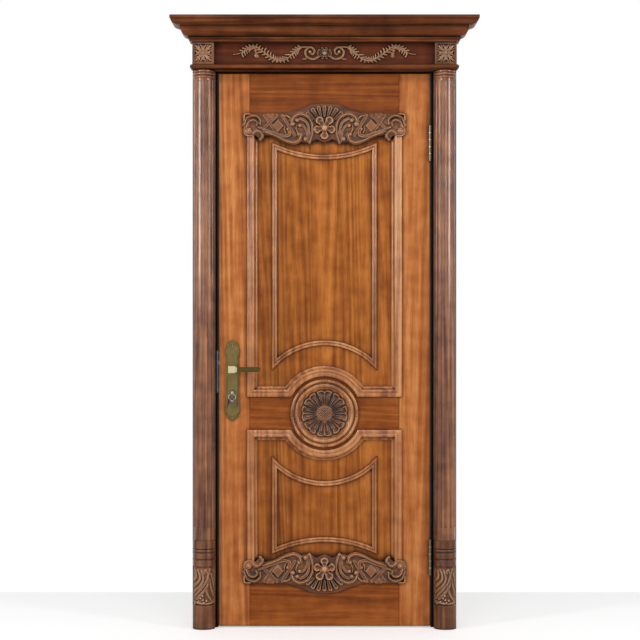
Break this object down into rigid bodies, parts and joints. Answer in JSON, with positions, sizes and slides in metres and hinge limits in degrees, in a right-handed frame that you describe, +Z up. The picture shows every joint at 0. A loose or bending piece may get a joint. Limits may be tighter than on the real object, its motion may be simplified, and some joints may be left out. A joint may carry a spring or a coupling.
{
  "type": "carved wooden door with frame",
  "caption": "Hinged frame-and-panel wooden door with carved scrolls and a rosette, in a frame with fluted columns, carved frieze and cornice.",
  "frame": {"origin": "middle of the doorset at floor level, halfway between the cornice front and the back of the jambs", "axes": "X to the right seen from the front, Y into the wall, Z up"},
  "size_m": [1.157, 0.288, 2.308],
  "materials": {
    "frame_wood": "dark stained, satin lacquer",
    "frieze_wood": "reddish stained, satin lacquer",
    "carved_wood": "carved, dark glaze in the hollows",
    "stile_wood": "light brown, vertical grain, satin lacquer",
    "rail_wood": "mid brown, level grain, satin lacquer",
    "panel_wood": "mid brown planks, satin lacquer",
    "moulding_wood": "mid brown, satin lacquer",
    "handle_brass": "aged brass",
    "hinge_brass": "greyed brass",
    "steel": "plain steel",
    "seal_rubber": "matte black"
  },
  "bodies": {
    "frame": {"lock_jamb": "frame_wood", "hinge_jamb": "frame_wood", "head_jamb": "frame_wood", "frame_seal": "seal_rubber", "left_casing": "frame_wood", "right_casing": "frame_wood", "left_column": "frame_wood", "right_column": "frame_wood", "left_column_base": "frame_wood", "right_column_base": "frame_wood", "head_fillet": "frame_wood", "astragal": "frame_wood", "left_corner_block": "frame_wood", "right_corner_block": "frame_wood", "frieze_board": "frieze_wood", "frieze_carving": "carved_wood", "cornice_front": "frame_wood", "cornice_left_return": "frame_wood", "cornice_right_return": "frame_wood", "cornice_backing": "frame_wood", "strike_plate": "steel", "strike_screws": "steel", "top_hinge_frame_plate": "hinge_brass", "bottom_hinge_frame_plate": "hinge_brass", "hinge_pins": "hinge_brass", "hinge_washers": "steel", "hinge_frame_screws": "steel"},
    "leaf": {"lock_stile": "stile_wood", "hinge_stile": "stile_wood", "top_rail": "rail_wood", "lock_rail": "rail_wood", "bottom_rail": "rail_wood", "upper_panel": "panel_wood", "lower_panel": "panel_wood", "upper_moulding": "moulding_wood", "lower_moulding": "moulding_wood", "back_upper_moulding": "moulding_wood", "back_lower_moulding": "moulding_wood", "upper_bead": "moulding_wood", "lower_bead": "moulding_wood", "medallion_ring": "moulding_wood", "rosette": "carved_wood", "top_carving": "carved_wood", "bottom_carving": "carved_wood", "top_hinge_leaf_plate": "hinge_brass", "bottom_hinge_leaf_plate": "hinge_brass", "hinge_leaf_screws": "steel", "lock_case": "steel", "forend": "steel", "front_plate": "handle_brass", "back_plate": "handle_brass", "plate_screws": "handle_brass", "cylinder_body": "handle_brass"},
    "lever_set": {"front_lever": "handle_brass", "back_lever": "handle_brass", "spindle": "steel"},
    "latch": {"latch_bolt": "steel"},
    "bolt": {"dead_bolt": "steel"},
    "key": {"door_key": "steel"},
    "key_bunch": {"key_ring": "steel"}
  },
  "joints": [
    {"name": "door_swing", "type": "hinge", "parent": "frame", "child": "leaf", "pos_m": [0.40175, -0.007, 1.054], "axis": [0, 0, 1], "range_deg": [0, 100]},
    {"name": "lever_turn", "type": "hinge", "parent": "leaf", "child": "lever_set", "pos_m": [-0.35, 0, 0.982], "axis": [0, 1, 0], "range_deg": [0, 40], "stiffness_Nm_per_rad": 1.2, "springref_deg": -34.38},
    {"name": "latch_slide", "type": "slide", "parent": "leaf", "child": "latch", "axis": [1, 0, 0], "range_m": [0, 0.012]},
    {"name": "key_turn", "type": "hinge", "parent": "leaf", "child": "key", "pos_m": [-0.35, -0.02, 0.892], "axis": [0, -1, 0], "range_deg": [0, 360]},
    {"name": "bolt_slide", "type": "slide", "parent": "leaf", "child": "bolt", "axis": [-1, 0, 0], "range_m": [0, 0.02]},
    {"name": "bunch_swing", "type": "hinge", "parent": "key", "child": "key_bunch", "pos_m": [-0.35, -0.031, 0.892], "axis": [1, 0, 0], "range_deg": [-60, 8]}
  ],
  "couplings": [
    {"joint": "latch_slide", "follows": "lever_turn", "m_per_rad": 0.01718},
    {"joint": "bolt_slide", "follows": "key_turn", "m_per_rad": 0.00318}
  ]
}
